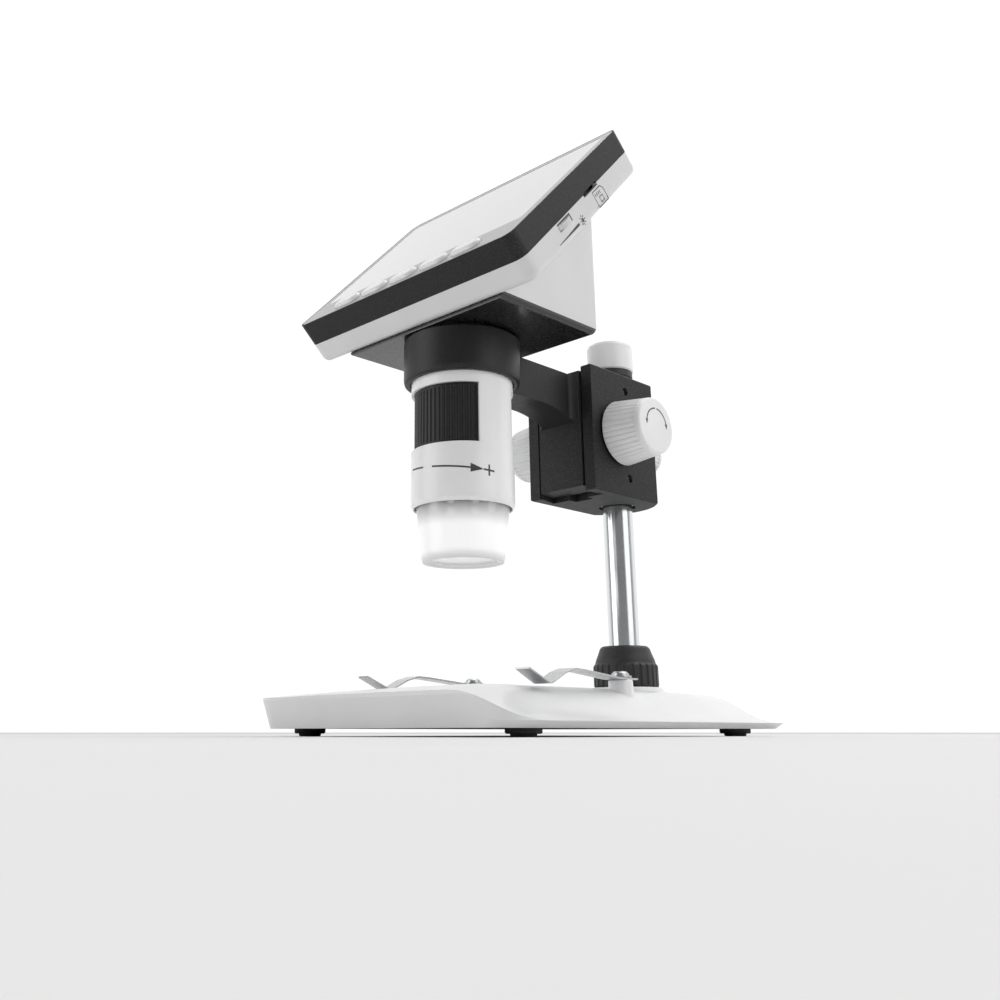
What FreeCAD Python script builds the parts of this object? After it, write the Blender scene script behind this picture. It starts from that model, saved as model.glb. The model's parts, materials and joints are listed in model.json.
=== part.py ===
import FreeCAD, Part
import math
import os

from FreeCAD import Placement, Rotation, Vector

# LCD digital microscope, in millimetres. +X is the user's right, +Y points away from the user, +Z is up.
# The origin lies on the table under the middle of the whole object.

# Places of the two upright axes
OPTIC_Y = -39.5
POLE_Y = 62.6

# Base
BASE_HALF_WIDTH = 67.0
BASE_FRONT = -89.6
BASE_REAR = 84.5
BASE_CORNER = 12.0
BASE_UNDERSIDE = 2.8
BASE_TOP = 17.5
BASE_LIP = 5.0
BASE_HOLLOW_TOP = 11.6
# Inset of the side walls at the underside, and the height above which they stand upright
BASE_LEAN = 3.2
BASE_LIP_LEAN = 3.6
BASE_LEAN_TOP = 13.0
# Sections of the top: y, end of the high ground, start of the lip, height at the left, height of the high ground
BASE_WAVE = (
    (-93.0, 40.0, 86.0, 13.2, 13.5),
    (-82.0, 36.5, 77.0, 14.1, 15.9),
    (-71.0, 34.5, 70.5, 14.5, 17.0),
    (-57.0, 33.0, 66.5, 14.7, 17.4),
    (-30.0, 33.0, 64.5, 14.8, 17.4),
    (0.0, 32.5, 63.5, 14.8, 17.4),
    (30.0, 29.5, 63.2, 14.8, 17.4),
    (60.0, 24.5, 64.0, 14.8, 17.4),
    (88.0, 18.0, 66.0, 14.8, 17.4),
)
PLATE_HALF_WIDTH = 46.0
PLATE_FRONT = -78.0
PLATE_REAR = 72.5
PLATE_THICK = 2.0
FOOT_X = 55.5
FOOT_FRONT = -69.2
FOOT_REAR = 57.0
FOOT_R = 6.0
PAD_R = 4.3
PLINTH_R = 16.0
PLINTH_TOP = 20.2
BASE_SCREW_X = 36.0
BASE_SCREW_Y = (-66.0, 40.0)

# Stage clips
CLIP_X = 39.0
CLIP_Y = 5.5
CLIP_POST_R = 4.6
CLIP_POST_TOP = 20.6
CLIP_THICK = 0.6
CLIP_WIDTH = 8.0
CLIP_SCREW_R = 1.5

# Pole, its nut and cap
POLE_R = 6.8
POLE_BOTTOM = 9.0
NUT_TOP = 38.0
NUT_RIB_TOP = 30.6
NUT_R = 14.2
CAP_R = 10.8
CAP_TOP = 181.0
RING_BOTTOM = 163.8
FIT = 0.05

# Focus bracket
BRACKET_HALF_WIDTH = 18.4
BRACKET_FRONT = 22.8
BRACKET_SIDE_REAR = 68.5
BRACKET_REAR = 77.5
BRACKET_BOTTOM = 101.3
BRACKET_TOP = 158.2
BUSH_R = 8.4
SLIDE_HALF_FRONT = 11.9
SLIDE_HALF_REAR = 14.4
SLIDE_FRONT = 22.4
SLIDE_REAR = 34.0
SLIDE_BOTTOM = 103.6
SLIDE_TOP = 156.2
RACK_HALF_WIDTH = 4.0
ARM_SCREW_Z = (141.0, 150.0)
KNOB_Z = 129.2
CLAMP_KNOB_REAR = 89.6
KNOB_BASE_R = 14.6
KNOB_RIBS = 38
KNOB_FACE_R = 12.4
KNOB_NEAR = 19.2
LOCK_KNOB_FAR = 37.8
FOCUS_KNOB_FAR = 38.4
SHAFT_R = 2.5
GIB_Y = 47.9
GIB_Z = (109.6, 150.4)

# Rack and pinion
MODULE = 0.625
PINION_TEETH = 16
PINION_PITCH_R = MODULE * PINION_TEETH / 2
PINION_Y = 42.1
PITCH = math.pi * MODULE
TOOTH_FILL = 0.82

# Holder ring and its liner
RING_R = 23.9
RING_Z0 = 137.0
RING_Z1 = 155.7
LINER_R = 22.3
ARM_HALF_WIDTH = 8.5
ARM_TOP = 154.6

# Barrel
BARREL_R = 20.7
BARREL_BOTTOM = 85.5
BARREL_TOP = 158.8
WINDOW_Z0 = 108.5
WINDOW_Z1 = 132.7
WINDOW_HALF_ANGLE = 63.3
FOCUS_R = 19.4
CARRIER_R = 15.9
SHROUD_TOP_R = 18.5
SHROUD_BOTTOM_R = 16.6
SHROUD_BOTTOM = 64.6
SHROUD_WALL = 1.5

# Screen head: u runs up the slope from the front edge, n stands out of the glass
SCREEN_TILT = 46.7
SCREEN_EDGE_Y = -78.0
SCREEN_EDGE_Z = 170.2
SCREEN_HALF_WIDTH = 62.0
SCREEN_DEPTH = 100.3
SCREEN_CORNER = 4.5
BAND = 10.1
HEAD_THICK = 19.8
CASE_WALL = 2.2
GLASS_HALF_WIDTH = 57.5
GLASS_U0 = 17.4
GLASS_U1 = 95.6
BUTTON_X = (36.0, 18.5, 1.0, -16.5, -34.0)
BUTTON_U = 7.2
BUTTON_LONG = 13.4
BUTTON_WIDE = 7.6
BUTTON_PROUD = 1.6
WHEEL_X = 55.6
WHEEL_U = 33.2
WHEEL_R = 8.0
SD_U = 59.6
USB_U = 49.0

# Wedge under the screen
WEDGE_HALF_WIDTH = 44.3
WEDGE_FRONT = -62.6
WEDGE_REAR = -5.0
WEDGE_BOTTOM = 156.2
WEDGE_WALL = 2.2

UP = Vector(0, 0, 1)


def box(x0, x1, y0, y1, z0, z1):
    return Part.makeBox(x1 - x0, y1 - y0, z1 - z0, Vector(x0, y0, z0))


def cyl(r, x, y, z0, z1):
    return Part.makeCylinder(r, z1 - z0, Vector(x, y, z0))


def cyl_x(r, x0, x1, y, z):
    return Part.makeCylinder(r, x1 - x0, Vector(x0, y, z), Vector(1, 0, 0))


def cyl_y(r, y0, y1, x, z):
    return Part.makeCylinder(r, y1 - y0, Vector(x, y0, z), Vector(0, 1, 0))


def tube(r_out, r_in, x, y, z0, z1):
    return cyl(r_out, x, y, z0, z1).cut(cyl(r_in, x, y, z0 - 1, z1 + 1))


def polygon(points):
    """Closed wire through the given vectors."""
    return Part.makePolygon([Vector(*p) for p in points] + [Vector(*points[0])])


def prism(points, along):
    return Part.Face(polygon(points)).extrude(Vector(*along))


def rounded_outline(x0, x1, y0, y1, z, r):
    """Rectangle with rounded corners, as one closed wire at height z."""
    edges = []
    corners = [(x1 - r, y0 + r, -90), (x1 - r, y1 - r, 0), (x0 + r, y1 - r, 90), (x0 + r, y0 + r, 180)]
    ends = []
    for cx, cy, start in corners:
        centre = Vector(cx, cy, z)
        points = [
            centre + Vector(r * math.cos(math.radians(a)), r * math.sin(math.radians(a)), 0)
            for a in (start, start + 45, start + 90)
        ]
        ends.append(points)
    for i, points in enumerate(ends):
        edges.append(Part.Arc(*points).toShape())
        edges.append(Part.LineSegment(points[2], ends[(i + 1) % 4][0]).toShape())
    return Part.Wire(edges)


def rounded_box(x0, x1, y0, y1, z0, z1, r):
    return Part.Face(rounded_outline(x0, x1, y0, y1, z0, r)).extrude(Vector(0, 0, z1 - z0))


def spun(points, centre, axis=UP):
    """Solid of revolution: points are (radius, height) along the axis through centre."""
    across = Vector(1, 0, 0) if abs(axis.x) < 0.5 else Vector(0, 1, 0)
    outline = [centre + across * r + axis * h for r, h in points]
    face = Part.Face(Part.makePolygon(outline + [outline[0]]))
    return face.revolve(centre, axis, 360)


def filleted(shape, radius, wanted):
    """Round the edges that the test picks."""
    edges = [e for e in shape.Edges if wanted(e.BoundBox)]
    return shape.makeFillet(radius, edges)


def fused(shapes):
    return shapes[0].multiFuse(shapes[1:]).removeSplitter() if len(shapes) > 1 else shapes[0]


def tilted(shape):
    """Carry a shape from the screen's own x, u, n to the object's frame."""
    turn = Placement(Vector(0, SCREEN_EDGE_Y, SCREEN_EDGE_Z), Rotation(Vector(1, 0, 0), SCREEN_TILT))
    moved = shape.copy()
    moved.Placement = turn.multiply(shape.Placement)
    return moved


def export(name, shape):
    shape.exportStep("parts/" + name + ".step")


# Base


def wave_section(y, x_high, x_low, z_left, z_high):
    """Cross-section of the base's top at one y: a ramp up from the left, an S curve, then the lip."""
    far_left = -80.0
    far_right = 110.0
    rise = Part.BezierCurve()
    rise.setPoles([
        Vector(far_left, y, z_left),
        Vector(0.5 * far_left, y, 0.25 * z_left + 0.75 * z_high),
        Vector(0.0, y, z_high),
        Vector(x_high, y, z_high),
    ])
    half = 0.5 * (x_low - x_high)
    fall = Part.BezierCurve()
    fall.setPoles([
        Vector(x_high, y, z_high),
        Vector(x_high + half, y, z_high),
        Vector(x_low - half, y, BASE_LIP),
        Vector(x_low, y, BASE_LIP),
    ])
    corners = [
        Vector(x_low, y, BASE_LIP),
        Vector(far_right, y, BASE_LIP),
        Vector(far_right, y, 0),
        Vector(far_left, y, 0),
        Vector(far_left, y, z_left),
    ]
    edges = [rise.toShape(), fall.toShape()]
    for a, b in zip(corners, corners[1:]):
        edges.append(Part.LineSegment(a, b).toShape())
    return Part.Wire(edges)


def base_outline(z, lean, lip_lean):
    return rounded_outline(
        -BASE_HALF_WIDTH + lean, BASE_HALF_WIDTH - lip_lean,
        BASE_FRONT + lean, BASE_REAR - lean, z, BASE_CORNER - lean,
    )


def base_envelope():
    """Outer form of the base, with walls that lean in towards the table."""
    wave = Part.makeLoft([wave_section(*section) for section in BASE_WAVE], True)
    at_lip = BASE_LEAN * (BASE_LEAN_TOP - BASE_LIP) / (BASE_LEAN_TOP - BASE_UNDERSIDE)
    sides = Part.makeLoft(
        [
            base_outline(BASE_UNDERSIDE, BASE_LEAN, BASE_LIP_LEAN),
            base_outline(BASE_LIP, at_lip, 0.0),
            base_outline(BASE_LEAN_TOP, 0.0, 0.0),
            base_outline(BASE_TOP + 4, 0.0, 0.0),
        ],
        True,
        True,
    )
    return sides.common(wave)


def base_shell():
    body = base_envelope()
    hollow = rounded_box(
        -BASE_HALF_WIDTH + 5, 28, BASE_FRONT + 5, BASE_REAR - 5,
        BASE_UNDERSIDE + PLATE_THICK, BASE_HOLLOW_TOP, 8,
    )
    keep = [cyl(14, 0, POLE_Y, 0, 20)]
    keep += [cyl(8, sx * CLIP_X, CLIP_Y, 0, 20) for sx in (-1, 1)]
    keep += [cyl(8, -FOOT_X, y, 0, 20) for y in (FOOT_FRONT, FOOT_REAR)]
    keep += [cyl(4, -BASE_SCREW_X, y, 0, 20) for y in BASE_SCREW_Y]
    hollow = hollow.cut(fused(keep))
    recess = rounded_box(
        -PLATE_HALF_WIDTH, PLATE_HALF_WIDTH, PLATE_FRONT, PLATE_REAR,
        0, BASE_UNDERSIDE + PLATE_THICK, 6,
    )
    body = body.cut(hollow).cut(recess)
    raised = [spun([(0, 10), (PLINTH_R + 1.2, 10), (PLINTH_R + 1.2, BASE_TOP), (PLINTH_R, PLINTH_TOP - 0.8),
                    (PLINTH_R - 0.8, PLINTH_TOP), (0, PLINTH_TOP)], Vector(0, POLE_Y, 0))]
    raised += [spun([(0, 8), (CLIP_POST_R + 0.5, 8), (CLIP_POST_R, CLIP_POST_TOP - 0.5),
                     (CLIP_POST_R - 0.5, CLIP_POST_TOP), (0, CLIP_POST_TOP)],
                    Vector(sx * CLIP_X, CLIP_Y, 0)) for sx in (-1, 1)]
    body = body.multiFuse(raised)
    holes = [cyl(POLE_R, 0, POLE_Y, POLE_BOTTOM, 40), cyl(2.6, 0, POLE_Y, 0, 20), cyl(6.4, 0, POLE_Y, 0, 5.4)]
    holes += [cyl(CLIP_SCREW_R, sx * CLIP_X, CLIP_Y, 12, 40) for sx in (-1, 1)]
    holes += [cyl(1.5, sx * FOOT_X, y, 0, 4.6) for sx in (-1, 1) for y in (FOOT_FRONT, FOOT_REAR)]
    holes += [cyl(1.2, sx * BASE_SCREW_X, y, 0, 11) for sx in (-1, 1) for y in BASE_SCREW_Y]
    return body.cut(fused(holes))


def base_bottom_plate():
    plate = rounded_box(
        -PLATE_HALF_WIDTH, PLATE_HALF_WIDTH, PLATE_FRONT, PLATE_REAR,
        BASE_UNDERSIDE, BASE_UNDERSIDE + PLATE_THICK, 6,
    )
    holes = [cyl(6.4, 0, POLE_Y, 0, 9)]
    for sx in (-1, 1):
        for y in BASE_SCREW_Y:
            holes.append(cyl(1.3, sx * BASE_SCREW_X, y, 0, 9))
            holes.append(cyl(2.6, sx * BASE_SCREW_X, y, 0, BASE_UNDERSIDE + 1.1))
    return plate.cut(fused(holes))


def base_weight():
    low = BASE_UNDERSIDE + PLATE_THICK
    return rounded_box(-28, 22, -60, 34, low, low + 4, 5)


def base_screws():
    screws = []
    for sx in (-1, 1):
        for y in BASE_SCREW_Y:
            place = Vector(sx * BASE_SCREW_X, y, BASE_UNDERSIDE)
            screws.append(spun([(0, 0.4), (0.5, 0.1), (2.4, 0.1), (2.4, 1.1), (1.2, 1.1), (1.2, 7), (0, 7.6)], place))
    return Part.makeCompound(screws)


def foot_places():
    return [Vector(sx * FOOT_X, y, 0) for sx in (-1, 1) for y in (FOOT_FRONT, FOOT_REAR)]


def feet():
    """Stepped cups, each with a peg that holds it in the base."""
    outline = [(0, 1.8), (PAD_R, 1.8), (PAD_R, 1.0), (FOOT_R - 0.5, 1.0), (FOOT_R, 1.4),
               (FOOT_R, BASE_UNDERSIDE), (1.5, BASE_UNDERSIDE), (1.5, 4.4), (0, 4.4)]
    return Part.makeCompound([spun(outline, p) for p in foot_places()])


def foot_pads():
    outline = [(0, 0), (PAD_R - 0.4, 0), (PAD_R, 0.4), (PAD_R, 1.8), (0, 1.8)]
    return Part.makeCompound([spun(outline, p) for p in foot_places()])


def pole():
    rod = spun(
        [(0, POLE_BOTTOM), (POLE_R - 0.5, POLE_BOTTOM), (POLE_R, POLE_BOTTOM + 0.5), (POLE_R, CAP_TOP - 5.5),
         (POLE_R - 0.5, CAP_TOP - 5), (0, CAP_TOP - 5)],
        Vector(0, POLE_Y, 0),
    )
    return rod.cut(cyl(2.5, 0, POLE_Y, 0, POLE_BOTTOM + 14))


def pole_screw():
    outline = [(1.6, 3.2), (5.6, 3.2), (6.0, 3.6), (6.0, 5.4), (2.5, 5.4), (2.5, 22), (0, 22), (0, 4.4), (1.6, 4.4)]
    return spun(outline, Vector(0, POLE_Y, 0))


def pole_nut():
    """Cone nut: a smooth taper above, ribs cut round the lower half."""
    low = PLINTH_TOP + 0.3
    nut = spun(
        [(POLE_R + FIT, low), (NUT_R - 0.4, low), (NUT_R, low + 0.5), (NUT_R, NUT_RIB_TOP - 1.2),
         (NUT_R - 0.9, NUT_RIB_TOP), (NUT_R - 1.3, NUT_RIB_TOP + 1.6), (NUT_R - 2.3, NUT_TOP - 3.4),
         (NUT_R - 3.2, NUT_TOP - 0.9), (NUT_R - 4.1, NUT_TOP), (POLE_R + FIT, NUT_TOP)],
        Vector(0, POLE_Y, 0),
    )
    count = 26
    grooves = []
    for i in range(count):
        a = 2 * math.pi * i / count
        r = NUT_R + 0.25
        grooves.append(cyl(0.85, r * math.cos(a), POLE_Y + r * math.sin(a), low - 1, NUT_RIB_TOP - 0.4))
    return nut.cut(Part.makeCompound(grooves))


def pole_cap():
    low = RING_BOTTOM + 3.0
    return spun(
        [(POLE_R, low), (CAP_R - 0.5, low), (CAP_R, low + 0.6), (CAP_R, CAP_TOP - 1.8), (CAP_R - 0.5, CAP_TOP - 0.6),
         (CAP_R - 1.8, CAP_TOP), (0, CAP_TOP), (0, CAP_TOP - 5), (POLE_R, CAP_TOP - 5)],
        Vector(0, POLE_Y, 0),
    )


def pole_cap_ring():
    return tube(CAP_R - 0.5, POLE_R, 0, POLE_Y, RING_BOTTOM, RING_BOTTOM + 3.0)


def clip(side):
    """Bent strip: flat eye on the post, a long rise, a valley that presses the stage, an upturned tip."""
    eye = CLIP_POST_TOP
    line = [(6, eye), (-6, eye), (-28, 22.6), (-34, 22.9), (-39.5, 21.4), (-47.2, BASE_TOP + 0.2),
            (-49.0, BASE_TOP + 0.2), (-59.5, 22.2)]
    top = [(y, z + CLIP_THICK) for y, z in reversed(line)]
    points = [(-CLIP_WIDTH / 2, y, z) for y, z in line + top]
    strip = prism(points, (CLIP_WIDTH, 0, 0))
    taper = prism([(-4.5, 7, 0), (4.5, 7, 0), (4.5, -20, 0), (3.0, -61, 0), (-3.0, -61, 0), (-4.5, -20, 0)], (0, 0, 40))
    strip = strip.common(taper).cut(cyl(CLIP_SCREW_R + FIT, 0, 0, 0, 40))
    strip.rotate(Vector(0, 0, 0), UP, side * 3.0)
    strip.translate(Vector(side * CLIP_X, CLIP_Y, 0))
    return strip


def clip_screws():
    screws = []
    head = CLIP_POST_TOP + CLIP_THICK + 0.1
    for sx in (-1, 1):
        outline = [(0, 12.4), (CLIP_SCREW_R, 12.4), (CLIP_SCREW_R, head), (4.2, head), (4.2, head + 0.7),
                   (3.4, head + 0.7), (3.2, head + 1.6), (2.3, head + 2.3), (0, head + 2.5)]
        screw = spun(outline, Vector(sx * CLIP_X, CLIP_Y, 0))
        slot = box(-0.4, 0.4, -2.0, 2.0, head + 1.5, head + 4)
        slot = fused([slot, box(-2.0, 2.0, -0.4, 0.4, head + 1.5, head + 4)])
        slot.translate(Vector(sx * CLIP_X, CLIP_Y, 0))
        screws.append(screw.cut(slot))
    return Part.makeCompound(screws)


# Bracket and focus drive


def dovetail(half_front, half_rear, front, rear, z0, z1):
    points = [(-half_front, front, z0), (half_front, front, z0), (half_rear, rear, z0), (-half_rear, rear, z0)]
    return prism(points, (0, 0, z1 - z0))


def bracket_housing():
    w = BRACKET_HALF_WIDTH
    edges = [
        Part.LineSegment(Vector(-w, BRACKET_SIDE_REAR, 0), Vector(-w, BRACKET_FRONT, 0)).toShape(),
        Part.LineSegment(Vector(-w, BRACKET_FRONT, 0), Vector(w, BRACKET_FRONT, 0)).toShape(),
        Part.LineSegment(Vector(w, BRACKET_FRONT, 0), Vector(w, BRACKET_SIDE_REAR, 0)).toShape(),
        Part.Arc(Vector(w, BRACKET_SIDE_REAR, 0), Vector(0, BRACKET_REAR, 0), Vector(-w, BRACKET_SIDE_REAR, 0)).toShape(),
    ]
    body = Part.Face(Part.Wire(edges)).extrude(Vector(0, 0, BRACKET_TOP - BRACKET_BOTTOM))
    body.translate(Vector(0, 0, BRACKET_BOTTOM))
    body = body.makeChamfer(0.5, [e for e in body.Edges if e.BoundBox.ZLength < 0.1])
    z0 = BRACKET_BOTTOM - 1
    z1 = BRACKET_TOP + 1
    cuts = [
        dovetail(SLIDE_HALF_FRONT + 0.05, SLIDE_HALF_REAR + 0.05, BRACKET_FRONT, SLIDE_REAR + 0.1, z0, z1),
        box(-12.9, 12.9, BRACKET_FRONT - 1, BRACKET_FRONT + 1.2, z0, z1),
        box(-RACK_HALF_WIDTH - 1, RACK_HALF_WIDTH + 1, SLIDE_REAR, PINION_Y - 3.5, z0, z1),
        cyl_x(6.4, -5.4, 5.4, PINION_Y, KNOB_Z),
        cyl(BUSH_R + FIT, 0, POLE_Y, z0, z1),
        cyl_x(SHAFT_R + FIT, -30, 30, PINION_Y, KNOB_Z),
        cyl_y(SHAFT_R + FIT, POLE_Y, 90, 0, KNOB_Z),
    ]
    cuts += [cyl_x(1.9, BRACKET_HALF_WIDTH - 6, 30, GIB_Y, z) for z in GIB_Z]
    return body.cut(fused(cuts))


def gib_screws():
    end = BRACKET_HALF_WIDTH
    screws = []
    for z in GIB_Z:
        screw = cyl_x(1.9, end - 6, end - 1.6, GIB_Y, z).cut(cyl_x(0.9, end - 3.4, end, GIB_Y, z))
        screws.append(screw)
    return Part.makeCompound(screws)


def clamp_bush():
    """Split bush that the clamp screw squeezes on the pole."""
    bush = tube(BUSH_R, POLE_R + FIT, 0, POLE_Y, BRACKET_BOTTOM + 1.5, BRACKET_TOP - 1.5)
    return bush.cut(box(-20, -5, POLE_Y - 0.6, POLE_Y + 0.6, 90, 170))


def ribbed_knob(base, face, r_base, r_face, ribs, bore, depth):
    """Knob along +X from base to face, tapered and ribbed, with a plain rim and a flat face."""
    rim = face - 0.9
    body = spun(
        [(0, base), (r_base - 0.7, base), (r_base, base + 0.7), (r_face + 0.2, rim), (r_face - 0.2, face - 0.2),
         (r_face - 0.7, face), (0, face)],
        Vector(0, 0, 0), Vector(1, 0, 0),
    )
    lean = math.atan2(r_base - r_face - 0.2, rim - base - 0.7)
    length = (rim - 0.7 - base) / math.cos(lean)
    grooves = []
    for i in range(ribs):
        a = 2 * math.pi * i / ribs
        out = Vector(0, math.cos(a), math.sin(a))
        start = Vector(base - 1.0, 0, 0) + out * (r_base + 0.2 + 2.0 * math.tan(lean))
        along = Vector(math.cos(lean), 0, 0) - out * math.sin(lean)
        grooves.append(Part.makeCylinder(0.62, length, start, along))
    body = body.cut(Part.makeCompound(grooves))
    return body.cut(cyl_x(bore, base - 1, base + depth, 0, 0))


def lock_knob():
    knob = ribbed_knob(KNOB_NEAR, LOCK_KNOB_FAR, KNOB_BASE_R, KNOB_FACE_R, KNOB_RIBS, SHAFT_R, 9.3)
    knob.translate(Vector(0, PINION_Y, KNOB_Z))
    return knob


def lock_screw():
    return cyl_x(SHAFT_R, 8.4, 28.5, PINION_Y, KNOB_Z)


def focus_knob():
    knob = ribbed_knob(KNOB_NEAR, FOCUS_KNOB_FAR, KNOB_BASE_R, KNOB_FACE_R, KNOB_RIBS, SHAFT_R, 9.3)
    knob.rotate(Vector(0, 0, 0), UP, 180)
    knob.translate(Vector(0, PINION_Y, KNOB_Z))
    return knob


def pinion_shaft():
    return cyl_x(SHAFT_R, -28.5, 8.0, PINION_Y, KNOB_Z)


def pinion():
    """Spur gear with straight flanks, one tooth pointing at the rack."""
    half = TOOTH_FILL * PITCH / 4
    slope = math.tan(math.radians(20))
    points = []
    for i in range(PINION_TEETH):
        a = math.pi + 2 * math.pi * i / PINION_TEETH
        out = Vector(0, math.cos(a), math.sin(a))
        side = Vector(0, -math.sin(a), math.cos(a))
        for r, s in ((-1.2, -1), (1.0, -1), (1.0, 1), (-1.2, 1)):
            wide = half - s * s * r * MODULE * slope
            points.append(out * (PINION_PITCH_R + r * MODULE) + side * (s * wide))
    points = [(-3.6, p.y + PINION_Y, p.z + KNOB_Z) for p in points]
    return prism(points, (7.2, 0, 0)).cut(cyl_x(SHAFT_R, -10, 10, PINION_Y, KNOB_Z))


def rack():
    """Toothed bar on the slide's back, with a gap opposite the pinion's tooth."""
    half = TOOTH_FILL * PITCH / 4
    slope = math.tan(math.radians(20))
    pitch_line = PINION_Y - PINION_PITCH_R
    root = pitch_line - 1.2 * MODULE
    tip = pitch_line + MODULE
    low = SLIDE_BOTTOM + 1
    high = SLIDE_TOP - 1
    first = math.ceil((low - KNOB_Z) / PITCH) + 1
    last = math.floor((high - KNOB_Z) / PITCH) - 1
    points = [(-RACK_HALF_WIDTH, SLIDE_REAR, low), (-RACK_HALF_WIDTH, root, low)]
    for i in range(first, last):
        z = KNOB_Z + (i + 0.5) * PITCH
        wide = half + 1.2 * MODULE * slope
        thin = half - MODULE * slope
        points += [(-RACK_HALF_WIDTH, root, z - wide), (-RACK_HALF_WIDTH, tip, z - thin)]
        points += [(-RACK_HALF_WIDTH, tip, z + thin), (-RACK_HALF_WIDTH, root, z + wide)]
    points += [(-RACK_HALF_WIDTH, root, high), (-RACK_HALF_WIDTH, SLIDE_REAR, high)]
    return prism(points, (2 * RACK_HALF_WIDTH, 0, 0))


def focus_slide():
    body = dovetail(SLIDE_HALF_FRONT - 0.09, SLIDE_HALF_REAR, SLIDE_FRONT, SLIDE_REAR, SLIDE_BOTTOM, SLIDE_TOP)
    holes = [cyl_y(1.5, 20, 40, 0, z) for z in ARM_SCREW_Z]
    holes += [cyl_y(2.8, SLIDE_REAR - 4, 40, 0, z) for z in ARM_SCREW_Z]
    return body.cut(fused(holes))


def arm_screws():
    """Two screws that run through the slide into the arm's foot, one above the other."""
    screws = []
    for z in ARM_SCREW_Z:
        screws.append(fused([cyl_y(1.5, 12, SLIDE_REAR - 4, 0, z), cyl_y(2.8, SLIDE_REAR - 4, SLIDE_REAR - 1.2, 0, z)]))
    return Part.makeCompound(screws)


def arm_bar():
    """Arm from the ring to the slide, with an underside that sweeps down and sides that flare."""
    w = ARM_HALF_WIDTH
    front = SLIDE_FRONT
    flare = 5.0
    foot = SLIDE_HALF_FRONT - 0.6
    inner = OPTIC_Y + RING_R - 3
    plan = [
        Part.LineSegment(Vector(-w, front - flare, 0), Vector(-w, inner, 0)).toShape(),
        Part.LineSegment(Vector(-w, inner, 0), Vector(w, inner, 0)).toShape(),
        Part.LineSegment(Vector(w, inner, 0), Vector(w, front - flare, 0)).toShape(),
    ]
    bend = flare * (1 - math.cos(math.radians(45)))
    part = (foot - w) / flare
    right = (Vector(w, front - flare, 0), Vector(w + bend * part, front - bend, 0), Vector(foot, front, 0))
    left = (Vector(-foot, front, 0), Vector(-w - bend * part, front - bend, 0), Vector(-w, front - flare, 0))
    plan.append(Part.Arc(*right).toShape())
    plan.append(Part.LineSegment(right[2], left[0]).toShape())
    plan.append(Part.Arc(*left).toShape())
    bar = Part.Face(Part.Wire(Part.__sortEdges__(plan))).extrude(Vector(0, 0, 60))
    bar.translate(Vector(0, 0, 120))
    low = RING_Z0 + 0.4
    sweep = Part.Arc(Vector(-20, -4, low), Vector(-20, 11, low - 0.9), Vector(-20, front, low - 4.6)).toShape()
    side = [
        Part.LineSegment(Vector(-20, -30, low), Vector(-20, -4, low)).toShape(),
        sweep,
        Part.LineSegment(Vector(-20, front, low - 4.6), Vector(-20, front, ARM_TOP)).toShape(),
        Part.LineSegment(Vector(-20, front, ARM_TOP), Vector(-20, -30, ARM_TOP)).toShape(),
        Part.LineSegment(Vector(-20, -30, ARM_TOP), Vector(-20, -30, low)).toShape(),
    ]
    profile = Part.Face(Part.Wire(side)).extrude(Vector(40, 0, 0))
    return bar.common(profile)


def holder_arm():
    ring = spun(
        [(LINER_R + FIT, RING_Z0 + 1.4), (21.3, RING_Z0 + 1.4), (21.3, RING_Z0), (RING_R - 1.3, RING_Z0),
         (RING_R - 0.3, RING_Z0 + 0.7), (RING_R, RING_Z0 + 2.0), (RING_R, RING_Z1 - 0.8), (RING_R - 0.8, RING_Z1),
         (LINER_R + FIT, RING_Z1)],
        Vector(0, OPTIC_Y, 0),
    )
    bar = arm_bar().cut(cyl(RING_R - 0.8, 0, OPTIC_Y, 100, 200))
    arm = fused([ring, bar])
    return arm.cut(Part.makeCompound([cyl_y(1.5, 12, 40, 0, z) for z in ARM_SCREW_Z]))


def ring_liner():
    return tube(LINER_R, BARREL_R + FIT, 0, OPTIC_Y, RING_Z0 + 1.5, RING_Z1 - 0.2)


def clamp_knob():
    knob = ribbed_knob(BRACKET_REAR + 0.7, CLAMP_KNOB_REAR, 9.6, 8.3, 28, SHAFT_R, 6)
    knob.rotate(Vector(0, 0, 0), UP, 90)
    knob.translate(Vector(0, 0, KNOB_Z))
    return knob


def clamp_screw():
    return cyl_y(SHAFT_R, POLE_Y + BUSH_R + 0.35, BRACKET_REAR + 6.7, 0, KNOB_Z)


# Barrel


def sector(half_angle, centre_angle, z0, z1):
    """Wedge of space about the optical axis."""
    far = 40
    a0 = math.radians(centre_angle - half_angle)
    a1 = math.radians(centre_angle + half_angle)
    mid = math.radians(centre_angle)
    points = [(0, OPTIC_Y, z0)]
    for a in (a0, mid, a1):
        points.append((far * math.cos(a), OPTIC_Y + far * math.sin(a), z0))
    return prism(points, (0, 0, z1 - z0))


def barrel():
    """White tube with a collar in the head plate and two cut-outs for the focus ring."""
    step = WINDOW_Z1 + 0.3
    body = spun(
        [(FOCUS_R + 0.1, BARREL_BOTTOM), (BARREL_R - 0.8, BARREL_BOTTOM), (BARREL_R, BARREL_BOTTOM + 1.4),
         (BARREL_R, BARREL_TOP - 1.2), (BARREL_R + 0.9, BARREL_TOP - 1.2), (BARREL_R + 0.9, BARREL_TOP),
         (17.6, BARREL_TOP), (17.6, step), (FOCUS_R + 0.1, step)],
        Vector(0, OPTIC_Y, 0),
    )
    for middle in (-90, 90):
        body = body.cut(sector(WINDOW_HALF_ANGLE, middle, WINDOW_Z0, WINDOW_Z1))
    return body


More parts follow.
